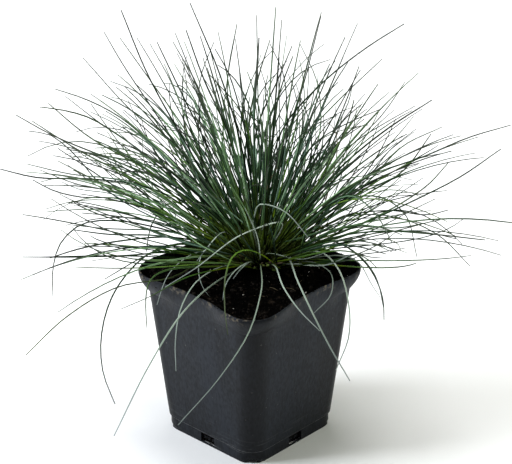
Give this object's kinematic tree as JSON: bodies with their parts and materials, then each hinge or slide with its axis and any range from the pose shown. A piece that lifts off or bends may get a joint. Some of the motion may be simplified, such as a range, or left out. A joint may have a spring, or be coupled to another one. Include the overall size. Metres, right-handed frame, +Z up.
{
  "type": "potted blue fescue clump",
  "caption": "Tufted ornamental grass with thin arching blue-green leaves, in a square black plastic nursery pot filled with potting mix; stands on its flat base.",
  "frame": {"origin": "the middle of the pot's flat resting face", "axes": "+Z up; the pot's four walls face +X, -X, +Y and -Y, and the corner nearest the picture's viewer is the one at +X and -Y"},
  "size_m": [0.2727, 0.2695, 0.2649],
  "materials": {
    "black_plastic": "satin black moulded plastic with light scuffs and dirt under the rim",
    "potting_mix": "damp, nearly black fibrous potting mix with pale grit",
    "crown_straw": "straw and yellow-green leaf bases",
    "leaf_blue_green": "waxy blue-green rolled leaf, paler at the tip",
    "leaf_silver_green": "pale silvery bloom on a rolled leaf",
    "leaf_yellow_green": "yellow-green rolled leaf"
  },
  "bodies": {
    "root": {"pot": "black_plastic", "soil": "potting_mix", "crown": "crown_straw", "leaf_crest_back": "leaf_blue_green", "leaf_crest_left": "leaf_blue_green", "leaf_crest_middle": "leaf_blue_green", "leaf_crest_right": "leaf_blue_green", "leaf_front_left": "leaf_silver_green", "leaf_front_long": "leaf_silver_green", "leaf_front_middle": "leaf_silver_green", "leaf_front_right": "leaf_silver_green", "leaf_front_short": "leaf_silver_green", "leaf_left_arch": "leaf_blue_green", "leaf_left_back": "leaf_blue_green", "leaf_left_droop": "leaf_blue_green", "leaf_left_high": "leaf_blue_green", "leaf_left_level": "leaf_blue_green", "leaf_left_long": "leaf_blue_green", "leaf_left_low": "leaf_yellow_green", "leaf_right_arch": "leaf_blue_green", "leaf_right_bow": "leaf_blue_green", "leaf_right_curl": "leaf_silver_green", "leaf_right_high": "leaf_blue_green", "leaf_right_hook": "leaf_blue_green", "leaf_right_level": "leaf_blue_green", "leaf_right_long": "leaf_blue_green", "leaf_rim_arch": "leaf_blue_green", "leaf_top_left": "leaf_blue_green", "leaf_top_right": "leaf_blue_green", "leaf_upper_left": "leaf_blue_green", "shoot_01": "leaf_blue_green", "shoot_02": "leaf_blue_green", "shoot_03": "leaf_blue_green", "shoot_04": "leaf_blue_green", "shoot_05": "leaf_blue_green", "shoot_06": "leaf_blue_green", "shoot_07": "leaf_blue_green", "shoot_08": "leaf_blue_green", "shoot_09": "leaf_blue_green", "shoot_10": "leaf_blue_green", "shoot_11": "leaf_blue_green", "shoot_12": "leaf_blue_green", "shoot_13": "leaf_blue_green", "shoot_14": "leaf_blue_green", "shoot_15": "leaf_blue_green", "shoot_16": "leaf_blue_green", "shoot_17": "leaf_blue_green", "shoot_18": "leaf_blue_green", "shoot_19": "leaf_blue_green", "shoot_20": "leaf_blue_green", "shoot_21": "leaf_blue_green", "shoot_22": "leaf_blue_green", "shoot_23": "leaf_blue_green", "shoot_24": "leaf_blue_green", "shoot_25": "leaf_blue_green", "shoot_26": "leaf_blue_green", "shoot_27": "leaf_blue_green", "shoot_28": "leaf_blue_green", "shoot_29": "leaf_blue_green", "shoot_30": "leaf_blue_green"}
  },
  "joints": []
}
